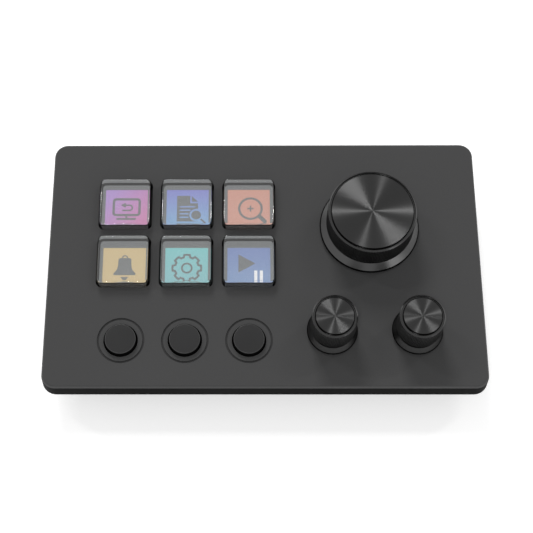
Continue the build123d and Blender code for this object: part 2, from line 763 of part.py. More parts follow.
# ---- Knobs: core with skirt and hub, fluted sleeve, spun disc ----
for side, dial in dials.items():
    x, y = dial["place"]
    knob_axis = Axis((x, y, 0), (0, 0, 1))
    knob_section = Plane(origin=(x, y, deck_height), x_dir=(1, 0, 0), z_dir=(0, -1, 0))
    seat = dial["top"] - disc_thickness
    rim_inner = dial["grip"] - rim_chamfer - rim_land
    disc_radius = rim_inner - disc_groove
    hub_radius = min(shaft_radius + hub_wall, dial["core"])
    hub_base = hub_foot - deck_height
    with BuildPart() as knob_core:
        with BuildSketch(knob_section):
            with BuildLine():
                Polyline(
                    (dial["nut_room"], knob_lift),
                    (dial["skirt"], knob_lift),
                    (dial["skirt"], knob_lift + skirt_edge),
                    (dial["neck"], dial["cone_top"]),
                    (dial["neck"], dial["grip_base"]),
                    (dial["core"], dial["grip_base"]),
                    (dial["core"], seat),
                    (0, seat),
                    (0, hub_base),
                    (dial["nut_room"], hub_base),
                    close=True,
                )
            make_face()
        revolve(axis=knob_axis)
        skirt_circles = knob_core.edges().filter_by(GeomType.CIRCLE)
        fillet(skirt_circles.filter_by(lambda edge: abs(edge.radius - dial["skirt"]) < 0.001), skirt_round)
        if dial["core"] - core_wall - hub_radius > core_rib_width:
            with BuildSketch(level(hub_foot)):
                with Locations(dial["place"]):
                    Circle(dial["core"] - core_wall)
                    Circle(hub_radius, mode=Mode.SUBTRACT)
                    with PolarLocations(0, core_ribs):
                        Rectangle(
                            dial["core"],
                            core_rib_width,
                            align=(Align.MIN, Align.CENTER),
                            mode=Mode.SUBTRACT,
                        )
            extrude(amount=deck_height + seat - core_wall - hub_foot, mode=Mode.SUBTRACT)
        with BuildSketch(level(hub_foot)):
            with Locations(dial["place"]):
                Circle(shaft_radius + shaft_fit_gap)
                with Locations((0, shaft_radius - shaft_flat_depth + shaft_fit_gap)):
                    Rectangle(
                        2 * hub_radius,
                        hub_radius,
                        align=(Align.CENTER, Align.MIN),
                        mode=Mode.SUBTRACT,
                    )
        extrude(amount=deck_height + seat - shaft_cover - hub_foot, mode=Mode.SUBTRACT)
    save(knob_core, f"knob_core_{side}")

    rim_top = dial["top"] - rim_drop
    flutes = round(2 * pi * dial["grip"] / flute_spacing)
    crests_and_roots = [
        Vector(dial["grip"] - flute_depth * (step % 2), 0).rotate(Axis.Z, 180 * step / flutes)
        for step in range(2 * flutes)
    ]
    with BuildPart() as knob_sleeve:
        with BuildSketch(Plane(origin=(x, y, deck_height + dial["grip_base"]))):
            with BuildLine():
                Polyline(*crests_and_roots, close=True)
            make_face()
        extrude(amount=rim_top - dial["grip_base"])
        with BuildSketch(knob_section):
            with BuildLine():
                Polyline(
                    (dial["core"] + sleeve_fit_gap, dial["grip_base"]),
                    (dial["grip"] + rim_chamfer, dial["grip_base"]),
                    (dial["grip"] + rim_chamfer, rim_top - 2 * rim_chamfer),
                    (dial["grip"] - rim_chamfer, rim_top),
                    (rim_inner, rim_top),
                    (rim_inner, seat),
                    (dial["core"] + sleeve_fit_gap, seat),
                    close=True,
                )
            make_face()
        revolve(axis=knob_axis, mode=Mode.INTERSECT)
    save(knob_sleeve, f"knob_sleeve_{side}")

    with BuildPart() as knob_disc:
        with BuildSketch(level(deck_height + seat)):
            with Locations(dial["place"]):
                Circle(disc_radius)
        extrude(amount=disc_thickness)
        chamfer(knob_disc.faces().sort_by(Axis.Z)[-1].edges(), disc_edge_round)
    save(knob_disc, f"knob_disc_{side}")
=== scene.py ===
import math

import bmesh
import bpy
from mathutils import Matrix, Quaternion, Vector


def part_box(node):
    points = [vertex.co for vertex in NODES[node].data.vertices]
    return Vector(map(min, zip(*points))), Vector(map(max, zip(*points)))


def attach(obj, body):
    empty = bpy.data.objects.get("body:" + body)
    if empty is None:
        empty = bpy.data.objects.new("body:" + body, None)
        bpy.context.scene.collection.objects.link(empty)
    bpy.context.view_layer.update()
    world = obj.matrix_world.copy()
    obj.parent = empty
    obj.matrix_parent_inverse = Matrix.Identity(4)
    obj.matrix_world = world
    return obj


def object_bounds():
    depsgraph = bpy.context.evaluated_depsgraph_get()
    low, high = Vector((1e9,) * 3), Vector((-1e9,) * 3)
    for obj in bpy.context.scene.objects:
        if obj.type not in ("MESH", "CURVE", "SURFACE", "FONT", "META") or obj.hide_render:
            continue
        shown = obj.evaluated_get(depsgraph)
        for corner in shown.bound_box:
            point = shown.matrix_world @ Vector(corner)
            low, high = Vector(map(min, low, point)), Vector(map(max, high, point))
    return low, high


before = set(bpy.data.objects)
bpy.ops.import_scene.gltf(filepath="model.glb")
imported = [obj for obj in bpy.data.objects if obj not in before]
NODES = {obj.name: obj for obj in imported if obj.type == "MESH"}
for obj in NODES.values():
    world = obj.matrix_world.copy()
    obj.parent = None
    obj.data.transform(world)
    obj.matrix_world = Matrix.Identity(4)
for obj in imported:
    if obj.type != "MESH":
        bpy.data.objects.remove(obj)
cad_low, cad_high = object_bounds()

MM = 0.001
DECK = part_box("top_cover")[1].z
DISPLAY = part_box("display_panel")[1].z
KEYS = range(1, 7)  # from the left, 1 to 3 in the rear row and 4 to 6 in front
BUTTONS = range(1, 4)
DIALS = ("main", "left", "right")


def middle(node):
    """Middle of a CAD node's box."""
    low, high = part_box(node)
    return (low + high) / 2


# ---------------------------------------------------------------- material helpers

def shader(name, colour, roughness, metallic=0.0, **sockets):
    """A Principled material; sockets are named with _ for each space."""
    material = bpy.data.materials.new(name)
    material.use_nodes = True
    bsdf = material.node_tree.nodes["Principled BSDF"]
    bsdf.inputs["Base Color"].default_value = (*colour, 1)
    bsdf.inputs["Roughness"].default_value = roughness
    bsdf.inputs["Metallic"].default_value = metallic
    for socket, value in sockets.items():
        bsdf.inputs[socket.replace("_", " ")].default_value = value
    return material, bsdf


def add(material, kind, **inputs):
    """A new node; inputs are named with _ for each space."""
    node = material.node_tree.nodes.new(kind)
    for socket, value in inputs.items():
        node.inputs[socket.replace("_", " ")].default_value = value
    return node


def link(material, source, target):
    """Joins one node's output to another's input."""
    material.node_tree.links.new(source, target)


def feed(material, value, socket):
    """Gives a socket another node's output, a colour triple or a number."""
    if isinstance(value, bpy.types.NodeSocket):
        link(material, value, socket)
    elif isinstance(value, (tuple, list)):
        socket.default_value = (*value, 1)
    else:
        socket.default_value = value


def coordinates(material, centre=(0, 0, 0)):
    """Object coordinates in metres, counted from a centre."""
    tex = add(material, "ShaderNodeTexCoord")
    move = add(material, "ShaderNodeMapping")
    move.inputs["Location"].default_value = [-c for c in centre]
    link(material, tex.outputs["Object"], move.inputs["Vector"])
    return move.outputs["Vector"]


def noise(material, vector, size, detail=3.0):
    """Noise whose features are about size metres across."""
    node = add(material, "ShaderNodeTexNoise", Scale=1 / size, Detail=detail)
    link(material, vector, node.inputs["Vector"])
    return node.outputs["Fac"]


def spread(material, value, low, high, start=0.3, end=0.7):
    """Maps a value from start..end to low..high."""
    node = add(material, "ShaderNodeMapRange")
    node.inputs["From Min"].default_value = start
    node.inputs["From Max"].default_value = end
    node.inputs["To Min"].default_value = low
    node.inputs["To Max"].default_value = high
    link(material, value, node.inputs["Value"])
    return node.outputs["Result"]


def pick(material, mask, off, on):
    """One number where a mask is 0 and another where it is 1."""
    return spread(material, mask, off, on, 0, 1)


def blend(material, factor, first, second):
    """Mixes two colours; factor 0 gives the first and 1 the second."""
    node = add(material, "ShaderNodeMix")
    node.data_type = "RGBA"
    # The colours of a Mix node are its inputs 6 and 7 and its output 2.
    for index, value in ((0, factor), (6, first), (7, second)):
        feed(material, value, node.inputs[index])
    return node.outputs[2]


def calculate(material, operation, *values):
    """One Math node; each value is a number or another node's output."""
    node = add(material, "ShaderNodeMath")
    node.operation = operation
    for socket, value in zip(node.inputs, values):
        feed(material, value, socket)
    return node.outputs[0]


def square_sum(material, *values):
    """The sum of two values' squares."""
    squares = (calculate(material, "MULTIPLY", value, value) for value in values)
    return calculate(material, "ADD", *squares)


def above(material, value, limit):
    """1 where a value is over a limit, else 0."""
    return calculate(material, "GREATER_THAN", value, limit)


def below(material, value, limit):
    """1 where a value is under a limit, else 0."""
    return calculate(material, "LESS_THAN", value, limit)


def both(material, first, second):
    """1 where two masks are 1."""
    return calculate(material, "MULTIPLY", first, second)


def either(material, first, second):
    """1 where one of two masks is 1."""
    return calculate(material, "MAXIMUM", first, second)


def axis_value(material, vector, axis):
    """A vector's part along "X", "Y" or "Z"."""
    split = add(material, "ShaderNodeSeparateXYZ")
    link(material, vector, split.inputs["Vector"])
    return split.outputs[axis]


def distance_off(material, vector, axis):
    """A vector's part along an axis without its sign."""
    return calculate(material, "ABSOLUTE", axis_value(material, vector, axis))


def bump(material, bsdf, height, depth):
    """Gives the surface a relief of about depth metres."""
    node = add(material, "ShaderNodeBump", Strength=1.0, Distance=depth)
    link(material, height, node.inputs["Height"])
    link(material, node.outputs["Normal"], bsdf.inputs["Normal"])


def grey(tone):
    """A neutral colour."""
    return (tone, tone, tone)


def scaled(colour, factor):
    """A colour made darker or lighter."""
    return [c * factor for c in colour]


def shades(colour, change):
    """A colour a share darker and the same share lighter."""
    return scaled(colour, 1 - change), scaled(colour, 1 + change)


def vary_gloss(material, bsdf, pattern, roughness, start=0.3, end=0.7):
    """Changes the roughness by a few per cent with a pattern."""
    varied = spread(material, pattern, roughness * 0.93, roughness * 1.07, start, end)
    link(material, varied, bsdf.inputs["Roughness"])


def mottled(name, colour, roughness, grain=0.25 * MM, depth=0.006 * MM, **sockets):
    """Moulded or coated surface: fine grain as bump, slow changes of shade and gloss."""
    material, bsdf = shader(name, colour, roughness, **sockets)
    place = coordinates(material)
    slow = noise(material, place, size=14 * MM, detail=4.0)
    fine = noise(material, place, size=grain, detail=2.0)
    link(material, blend(material, slow, *shades(colour, 0.12)), bsdf.inputs["Base Color"])
    vary_gloss(material, bsdf, slow, roughness)
    bump(material, bsdf, fine, depth)
    return material


def mottled_parts(name, colour, roughness, **options):
    """A mottled material with its shader and the output that colours it."""
    material = mottled(name, colour, roughness, **options)
    bsdf = material.node_tree.nodes["Principled BSDF"]
    return material, bsdf, bsdf.inputs["Base Color"].links[0].from_socket


# ---------------------------------------------------------------- finishes

DECK_TONE = (0.071, 0.071, 0.0715)
# painted shade: grooves and openings below the deck's face are darker
GROOVE_SHADE_TONE = scaled(DECK_TONE, 0.7)
# painted highlight on the rounded top edge
EDGE_HIGHLIGHT_TONE = scaled(DECK_TONE, 1.6)
# painted shade: the side wall below the rounded edge is nearly black and mirrors less
SIDE_SHADE_TONE = (0.005, 0.005, 0.0051)
EDGE_WIDTH = 3 * MM  # a groove lies farther in from the outline than this, the painted edge highlight nearer
# How far below the deck's face these tones start, and where two of them are full.
GROOVE_START = 0.25 * MM
HIGHLIGHT_START, HIGHLIGHT_FULL = 0.05 * MM, 0.2 * MM
RIM_START, RIM_FULL = 0.55 * MM, 0.8 * MM


def deck_finish():
    """Satin black cover with fine grain; painted shade darkens its grooves and its side wall, and a
    painted highlight lightens its rounded edge.
    """
    material, bsdf = shader("deck_plastic", DECK_TONE, 0.55, Specular_IOR_Level=0.03)
    place = coordinates(material)
    slow = noise(material, place, size=22 * MM)
    fine = noise(material, place, size=0.28 * MM)
    patches = blend(material, slow, *shades(DECK_TONE, 0.05))
    speck = spread(material, fine, 0.0, 1.0, 0.25, 0.75)
    sparkle = blend(material, speck, *shades(DECK_TONE, 0.12))
    grained = blend(material, 0.5, patches, sparkle)

    height = axis_value(material, place, "Z")
    past_x, past_y = (
        calculate(material, "SUBTRACT", distance_off(material, place, axis), half)
        for axis, half in (("X", cad_high.x), ("Y", cad_high.y))
    )
    near_edge = above(material, calculate(material, "MAXIMUM", past_x, past_y), -EDGE_WIDTH)
    inside = calculate(material, "SUBTRACT", 1.0, near_edge)
    # painted shade in the grooves, away from the outline
    groove = both(material, below(material, height, DECK - GROOVE_START), inside)
    # painted highlight on the rounded edge, near the outline
    edge_highlight = spread(material, height, 1.0, 0.0, DECK - HIGHLIGHT_FULL, DECK - HIGHLIGHT_START)
    over_rim = spread(material, height, 0.0, 1.0, DECK - RIM_FULL, DECK - RIM_START)

    face = blend(material, groove, grained, GROOVE_SHADE_TONE)
    highlighted = blend(material, both(material, near_edge, edge_highlight), face, EDGE_HIGHLIGHT_TONE)
    # painted shade on the side wall under the edge
    link(material, blend(material, over_rim, SIDE_SHADE_TONE, highlighted), bsdf.inputs["Base Color"])
    link(material, spread(material, slow, 0.52, 0.58), bsdf.inputs["Roughness"])
    link(material, pick(material, over_rim, 0.02, 0.03), bsdf.inputs["Specular IOR Level"])
    bump(material, bsdf, fine, 0.008 * MM)
    return material


CAP_CLEAR = 0.94  # share of the light that a cap lets through
CAP_FLANGE = 1.0 * MM  # how far the flange stands out from the cap's body
CAP_CORNER = 1.5 * MM  # radius of the body's corners
# painted shade: the flange, side walls, a belt and the rear edge are black where the gap and walls look
# dark
CAP_PAINTED_SHADE = grey(0.003)
# How far in from the body's outline the painted shade reaches, and how far below the top it starts.
SIDE_WIDTH, SIDE_START = 0.7 * MM, 0.03 * MM
REAR_WIDTH, REAR_START = 0.46 * MM, 0.008 * MM
WALL_WIDTH = 0.4 * MM
BELT_DEPTH, BELT_HALF = 0.65 * MM, 0.22 * MM  # the belt's middle below the top, and half its height
FLANGE_PLAY = 0.1 * MM  # keeps the flange's painted shade off the body and the deck's face


def cap_finish(number):
    """Clear acrylic with a faint haze; its flange, side walls, rear edge and a belt round it are painted
    black as shade.
    """
    material, bsdf = shader(
        f"cap_clear_{number}", grey(1.0), 0.03, Transmission_Weight=CAP_CLEAR, IOR=1.49
    )
    spot = middle(f"key_cap_{number}")
    low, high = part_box(f"key_cap_{number}")
    straight = (high.x - low.x) / 2 - CAP_FLANGE - CAP_CORNER
    place = coordinates(material, (spot.x, spot.y, 0))
    haze = noise(material, place, size=5 * MM)
    link(material, spread(material, haze, 0.02, 0.05), bsdf.inputs["Roughness"])

    height = axis_value(material, place, "Z")
    past_x, past_y = (
        calculate(material, "MAXIMUM", calculate(material, "SUBTRACT", off, straight), 0.0)
        for off in (distance_off(material, place, "X"), distance_off(material, place, "Y"))
    )
    reach = calculate(material, "SQRT", square_sum(material, past_x, past_y))

    outside = above(material, reach, CAP_CORNER + FLANGE_PLAY)
    flange = both(material, outside, below(material, height, DECK - FLANGE_PLAY))
    side = above(material, past_x, CAP_CORNER - SIDE_WIDTH)
    side = both(material, side, below(material, height, high.z - SIDE_START))
    belt = calculate(material, "COMPARE", height, high.z - BELT_DEPTH, BELT_HALF)
    wall = both(material, above(material, reach, CAP_CORNER - WALL_WIDTH), either(material, side, belt))
    behind = above(material, axis_value(material, place, "Y"), straight)
    outline = above(material, reach, CAP_CORNER - REAR_WIDTH)
    outline = both(material, outline, below(material, height, high.z - REAR_START))
    rear = both(material, behind, outline)

    # painted shade; the rear edge also mirrors nothing, so no highlight shows there
    black = either(material, flange, either(material, wall, rear))
    link(material, blend(material, black, grey(1.0), CAP_PAINTED_SHADE), bsdf.inputs["Base Color"])
    link(material, pick(material, rear, 0.5, 0.0), bsdf.inputs["Specular IOR Level"])
    return material


BUTTON_TONE = (0.027, 0.027, 0.0274)
# painted highlight: a thin light line near the top of the rounded edge
HIGHLIGHT_LINE_TONE = grey(0.075)
# painted shade: the rounded wall is nearly black and mirrors nothing
WALL_SHADE_TONE = grey(0.006)
BUTTON_GLOSS = 0.22
BUTTON_DOME = 4.5  # the shade's dome falls by this times the square of the distance, in metres
LINE_DEPTH, LINE_HALF = 0.015 * MM, 0.012 * MM  # the line's middle below the top, and half its height
# How far below the top the wall's painted shade starts, at a distance before and behind the button's
# middle.
FRONT_WALL, REAR_WALL, WALL_FADE = 0.1 * MM, 0.027 * MM, 3 * MM


def button_finish(number):
    """Satin button, shaded as a slight dome, with a thin painted highlight line over a rounded wall
    darkened as painted shade.
    """
    material, bsdf, tone = mottled_parts(
        f"button_plastic_{number}", BUTTON_TONE, 0.42,
        grain=0.3 * MM, depth=0.003 * MM, Specular_IOR_Level=BUTTON_GLOSS,
    )
    spot = middle(f"button_cap_{number}")
    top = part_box(f"button_cap_{number}")[1].z
    place = coordinates(material, (spot.x, spot.y, 0))
    across, along, height = (axis_value(material, place, axis) for axis in "XYZ")

    fall = calculate(material, "MULTIPLY", square_sum(material, across, along), -BUTTON_DOME)
    grain = bsdf.inputs["Normal"].links[0].from_node
    dome = add(material, "ShaderNodeBump", Strength=1.0, Distance=1.0)
    link(material, fall, dome.inputs["Height"])
    link(material, dome.outputs["Normal"], grain.inputs["Normal"])

    # painted highlight line
    line = calculate(material, "COMPARE", height, top - LINE_DEPTH, LINE_HALF)
    lined = blend(material, line, tone, HIGHLIGHT_LINE_TONE)
    start = spread(material, along, FRONT_WALL, REAR_WALL, -WALL_FADE, WALL_FADE)
    # painted shade on the wall
    wall = below(material, height, calculate(material, "SUBTRACT", top, start))
    link(material, blend(material, wall, lined, WALL_SHADE_TONE), bsdf.inputs["Base Color"])
    link(material, pick(material, wall, BUTTON_GLOSS, 0.0), bsdf.inputs["Specular IOR Level"])
    return material


# painted light: the main dial's core is lighter than the side dials' so that its skirt looks more brightly
# lit
CORE_TONES = {"main": grey(0.185), "left": grey(0.07), "right": grey(0.07)}
# painted shade: black at the skirt's foot and in the groove round the disc
CORE_SHADE = grey(0.004)
SKIRT_EDGE = 0.6 * MM  # height of the painted shade at the skirt's foot
CORE_HEAD = 3 * MM  # height of the core's top painted black as shade, which shows round the disc


def core_finish(dial):
    """Dark anodised core of a dial: satin skirt, painted black as shade at its foot and round the disc on
    top.
    """
    material, bsdf, tone = mottled_parts(
        f"core_{dial}", CORE_TONES[dial], 0.33, grain=0.15 * MM, depth=0.002 * MM, metallic=1.0
    )
    low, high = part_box(f"knob_core_{dial}")
    height = axis_value(material, coordinates(material), "Z")
    over_foot = above(material, height, low.z + SKIRT_EDGE)
    head = above(material, height, high.z - CORE_HEAD)
    satin = calculate(material, "SUBTRACT", over_foot, head)
    link(material, blend(material, satin, CORE_SHADE, tone), bsdf.inputs["Base Color"])
    return material


SLEEVE_TONE = (0.095, 0.095, 0.0955)
SLEEVE_ROUGHNESS = 0.36
CHAMFER = 0.42 * MM  # height of the sleeve's chamfer
CHAMFER_TONE = grey(0.11)
CHAMFER_ROUGHNESS = 0.2
CHAMFER_GLANCE = grey(0.15)  # share of the light that it mirrors at a low angle


def sleeve_finish(dial):
    """Knurled black metal with a smooth chamfer round the disc, which mirrors little at a low angle."""
    material, bsdf, tone = mottled_parts(
        f"sleeve_{dial}", SLEEVE_TONE, SLEEVE_ROUGHNESS,
        grain=0.2 * MM, depth=0.002 * MM, metallic=1.0,
    )
    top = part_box(f"knob_sleeve_{dial}")[1].z
    height = axis_value(material, coordinates(material), "Z")
    chamfer = above(material, height, top - CHAMFER)
    gloss = pick(material, chamfer, SLEEVE_ROUGHNESS, CHAMFER_ROUGHNESS)
    link(material, blend(material, chamfer, tone, CHAMFER_TONE), bsdf.inputs["Base Color"])
    link(material, gloss, bsdf.inputs["Roughness"])
    link(material, blend(material, chamfer, grey(1.0), CHAMFER_GLANCE), bsdf.inputs["Specular Tint"])
    return material


DISC_TONE = grey(0.095)
DISC_ROUGHNESS = 0.3
DISC_RING = 0.3 * MM  # step of the lathe's rings
WAVE_STEP = 0.3142  # metres from ring to ring in a Wave Texture at scale 1
# painted shade: a black line at the disc's edge, where the groove round it lies
DISC_EDGE_SHADE = grey(0.003)
DISC_GROOVE = 0.25 * MM  # width of the painted shade line round the disc


def disc_finish(dial):
    """Metal turned on a lathe: fine rings about the middle stretch the reflections across them."""
    material, bsdf = shader(
        f"spun_{dial}", DISC_TONE, DISC_ROUGHNESS,
        metallic=1.0, Anisotropic=1.0, Anisotropic_Rotation=0.25,
    )
    tangent = add(material, "ShaderNodeTangent")
    tangent.direction_type = "RADIAL"
    tangent.axis = "Z"
    link(material, tangent.outputs["Tangent"], bsdf.inputs["Tangent"])

    low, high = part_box(f"knob_disc_{dial}")
    place = coordinates(material, middle(f"knob_disc_{dial}"))
    rings = add(material, "ShaderNodeTexWave", Scale=WAVE_STEP / DISC_RING, Distortion=0.5, Detail=2.0)
    rings.wave_type = "RINGS"
    rings.rings_direction = "Z"
    link(material, place, rings.inputs["Vector"])
    vary_gloss(material, bsdf, rings.outputs["Fac"], DISC_ROUGHNESS, 0, 1)

    reach = add(material, "ShaderNodeVectorMath")
    reach.operation = "LENGTH"
    link(material, place, reach.inputs[0])
    # painted shade round the disc's edge
    edge = above(material, reach.outputs["Value"], (high.x - low.x) / 2 - DISC_GROOVE)
    turned = blend(material, rings.outputs["Fac"], *shades(DISC_TONE, 0.18))
    link(material, blend(material, edge, turned, DISC_EDGE_SHADE), bsdf.inputs["Base Color"])
    return material


def dress(node, material):
    """Gives every face of a CAD node one material."""
    mesh = NODES[node].data
    mesh.materials.clear()
    mesh.materials.append(material)


DISPLAY_BLACK = grey(0.02)
GREY_GLOW = (0.15, 0.16, 0.162)  # the display's grey glow between its pictures, a painted reflection in place of the caps' veil, and the icons


def lit(name, colour):
    """Display glass that shines in one colour."""
    return mottled(name, DISPLAY_BLACK, 0.3, Emission_Color=(*colour, 1), Emission_Strength=1.0)


base_plastic = mottled(
    "base_plastic", (0.014, 0.014, 0.0145), 0.55,
    grain=0.35 * MM, depth=0.012 * MM, Specular_IOR_Level=0.15,
)
foot_rubber = mottled("foot_rubber", grey(0.012), 0.8, grain=0.4 * MM, depth=0.02 * MM)
screw_steel = mottled("screw_steel", (0.12, 0.12, 0.125), 0.35, metallic=1.0)
switch_plastic = mottled("switch_plastic", grey(0.015), 0.5)
plunger_plastic = mottled("plunger_plastic", (0.6, 0.6, 0.58), 0.45)
silicone = mottled("silicone", grey(0.006), 0.7, depth=0.01 * MM, Specular_IOR_Level=0.1)
tray_plastic = mottled("tray_plastic", (0.5, 0.5, 0.48), 0.5)
board_mask = mottled("board_mask", (0.008, 0.05, 0.02), 0.3, grain=0.5 * MM)
socket_plastic = mottled("socket_plastic", grey(0.02), 0.4)
plated = mottled("plated", grey(0.55), 0.28, metallic=1.0)
shaft_metal = mottled("shaft_metal", grey(0.5), 0.3, metallic=1.0)
ribbon_film = mottled("ribbon_film", (0.35, 0.14, 0.03), 0.35)

dress("top_cover", deck_finish())
dress("bottom_cover", base_plastic)
dress("rubber_feet", foot_rubber)
for name in ("cover_screws", "board_screws"):
    dress(name, screw_steel)
for number in KEYS:
    dress(f"key_cap_{number}", cap_finish(number))
    dress(f"key_collar_{number}", silicone)
dress("key_mat", silicone)
# painted reflection: the panel glows grey between the pictures
dress("display_panel", lit("panel_glass", GREY_GLOW))
dress("display_tray", tray_plastic)
dress("display_ribbon", ribbon_film)
dress("main_board", board_mask)
for name in ("ribbon_socket", "usb_tongue", "controller_chip"):
    dress(name, socket_plastic)
for name in ("usb_shell", "encoder_nuts", "encoder_washers"):
    dress(name, plated)
for number in BUTTONS:
    dress(f"button_cap_{number}", button_finish(number))
    dress(f"tact_switch_{number}", switch_plastic)
    dress(f"tact_plunger_{number}", plunger_plastic)
for dial in DIALS:
    dress(f"encoder_body_{dial}", switch_plastic)
    dress(f"encoder_bushing_{dial}", plated)
    dress(f"encoder_shaft_{dial}", shaft_metal)
    dress(f"push_plunger_{dial}", plunger_plastic)
    dress(f"knob_core_{dial}", core_finish(dial))
    dress(f"knob_sleeve_{dial}", sleeve_finish(dial))
    dress(f"knob_disc_{dial}", disc_finish(dial))

# ---------------------------------------------------------------- pictures on the display

PICTURE = 13.1 * MM  # side of a lit picture
REAR_ROW_SHIFT = -0.28 * MM  # how far the pictures lie behind (+) or before (-) their keys' middles
FRONT_ROW_SHIFT = -1.0 * MM
LAYER = 0.03 * MM  # from one layer of a picture to the next
SLAB = 0.8 * LAYER  # thickness of one layer
WELD = 0.0001 * MM  # points nearer than this are joined
MITRE = 0.3  # a sharp corner reaches out by at most the stroke's half width over this

# The outlines below are in millimetres about the middle of their picture.


def circle(x, y, radius, points=48):
    """Points round a circle."""
    turns = [2 * math.pi * i / points for i in range(points)]
    return [(x + radius * math.cos(t), y + radius * math.sin(t)) for t in turns]


def arc(x, y, radius, start, end, points=16):
    """Points on an arc, angles in degrees, both ends included."""
    turns = [math.radians(start + (end - start) * i / points) for i in range(points + 1)]
    return [(x + radius * math.cos(t), y + radius * math.sin(t)) for t in turns]


def rounded(x, y, width, height, radius):
    """Outline of a rectangle with round corners about (x, y)."""
    right, up = width / 2 - radius, height / 2 - radius
    corners = ((right, up, 0), (-right, up, 90), (-right, -up, 180), (right, -up, 270))
    outline = []
    for u, v, turn in corners:
        outline += arc(x + u, y + v, radius, turn, turn + 90, 6)
    return outline


def plus(x, y, arm, half):
    """Outline of a plus sign about (x, y), from the length and half the width of its arms."""
    quarter = [(arm, -half), (arm, half), (half, half)]
    outline = []
    for _ in range(4):
        outline += [(x + u, y + v) for u, v in quarter]
        quarter = [(-v, u) for u, v in quarter]
    return outline


def cog(x, y, teeth, tip, root, tip_share=0.48, root_share=0.3):
    """Outline of a gear: flat tips and roots of given shares of a tooth's turn."""
    outline = []
    for i in range(teeth):
        for radius, share, centre in ((tip, tip_share, i), (root, root_share, i + 0.5)):
            for edge in (-1, 0, 1):
                turn = 2 * math.pi * (centre + edge * share / 2) / teeth
                outline.append((x + radius * math.cos(turn), y + radius * math.sin(turn)))
    return outline


def offset(points, distance, closed):
    """The points moved sideways, to their right for a positive distance."""
    count = len(points)
    moved = []
    for i, point in enumerate(points):
        here = Vector(point)
        steps = []
        if closed or i > 0:
            steps.append((here - Vector(points[i - 1])).normalized())
        if closed or i < count - 1:
            steps.append((Vector(points[(i + 1) % count]) - here).normalized())
        along = sum(steps, Vector((0, 0))).normalized()
        side = Vector((along.y, -along.x))
        reach = distance / max(MITRE, along.dot(steps[0]))
        moved.append(tuple(here + side * reach))
    return moved


def ring(points, width):
    """A closed stroke: outer and inner outline."""
    return [offset(points, width / 2, True), offset(points, -width / 2, True)]


def stroke(points, width):
    """An open stroke with round ends, as one outline."""
    right = offset(points, width / 2, False)
    left = offset(points, -width / 2, False)
    (x0, y0), (x1, y1) = points[0], points[-1]
    end = math.degrees(math.atan2(right[-1][1] - y1, right[-1][0] - x1))
    start = math.degrees(math.atan2(left[0][1] - y0, left[0][0] - x0))
    end_cap = arc(x1, y1, width / 2, end, end + 180, 8)
    start_cap = arc(x0, y0, width / 2, start, start + 180, 8)
    return [right[:-1] + end_cap + left[-2:0:-1] + start_cap]


def slab(shapes, name, x, y, level, material):
    """Flat filled shapes, in millimetres about (x, y), as one thin closed piece on the display."""
    merged = bmesh.new()
    for loops in shapes:
        curve = bpy.data.curves.new(name, "CURVE")
        curve.dimensions = "2D"
        curve.fill_mode = "BOTH"
        curve.extrude = SLAB / 2
        for loop in loops:
            line = curve.splines.new("POLY")
            line.points.add(len(loop) - 1)
            for spot, (u, v) in zip(line.points, loop):
                spot.co = (u * MM, v * MM, 0, 1)
            line.use_cyclic_u = True
        drawn = bpy.data.objects.new(name, curve)
        merged.from_mesh(bpy.data.meshes.new_from_object(drawn))
        bpy.data.objects.remove(drawn)
    bmesh.ops.remove_doubles(merged, verts=merged.verts, dist=WELD)
    bmesh.ops.translate(merged, verts=merged.verts, vec=(x, y, DISPLAY + level * LAYER))
    mesh = bpy.data.meshes.new(name)
    merged.to_mesh(mesh)
    merged.free()
    mesh.materials.append(material)
    piece = bpy.data.objects.new(name, mesh)
    bpy.context.scene.collection.objects.link(piece)
    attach(piece, "root")


# Each icon is a list of layers: its level, its ink and its shapes, each of one or more outlines.


def monitor_icon():
    """A monitor on a stand, with a return arrow on its screen."""
    screen = ring(rounded(0.06, 0.63, 8.05, 5.4, 0.8), 0.78)
    stand = [rounded(0.06, -2.75, 0.6, 0.9, 0.05)]
    foot = stroke([(-2.7, -3.4), (2.8, -3.4)], 0.68)
    arrow = stroke([(-0.35, 1.3), *arc(0.95, 0.41, 0.89, 90, -90), (-1.1, -0.48)], 0.52)
    head = [[(-1.75, 1.3), (-0.25, 0.4), (-0.25, 2.2)]]
    return [(1, "grey", [screen, stand, foot, arrow, head])]


def document_icon():
    """A page with a folded corner and four lines of text, and a magnifier over its lower right."""
    left, right, bottom, top = -3.3, 3.25, -4.25, 4.5
    sheet = [[(left, bottom), (right, bottom), (right, 1.95), (0.8, 1.95), (0.8, top), (left, top)]]
    fold = [[(1.3, 2.5), (right, 2.5), (1.3, 4.4)]]
    start = -2.4
    heights_and_ends = ((0.75, 2.3), (-0.45, 0.9), (-1.65, 0.3), (-2.85, 0.3))
    lines = [[rounded((start + end) / 2, y, end - start, 0.45, 0.1)] for y, end in heights_and_ends]
    x, y = 2.7, -2.1
    gaps = [[circle(x, y, 2.1)], stroke([(4.0, -3.4), (5.6, -4.85)], 1.3)]
    lens = [circle(x, y, 1.5)]
    handle = stroke([(4.25, -3.6), (5.45, -4.7)], 0.55)
    return [(1, "grey", [sheet, fold]), (2, "paper", lines + gaps), (3, "grey", [lens, handle])]


def magnifier_icon():
    """A magnifier with a plus in its lens."""
    x, y = 0.54, 0.1
    lens = ring(circle(x, y, 3.5), 0.7)
    handle = stroke([(3.35, -2.6), (4.95, -4.25)], 1.3)
    return [(1, "grey", [lens, [plus(x, y, 1.0, 0.24)], handle])]


def mirrored(half, middle_x):
    """The right half of an outline, counted from its middle line, and then its left half."""
    return [(middle_x + x, y) for x, y in half] + [(middle_x - x, y) for x, y in reversed(half)]


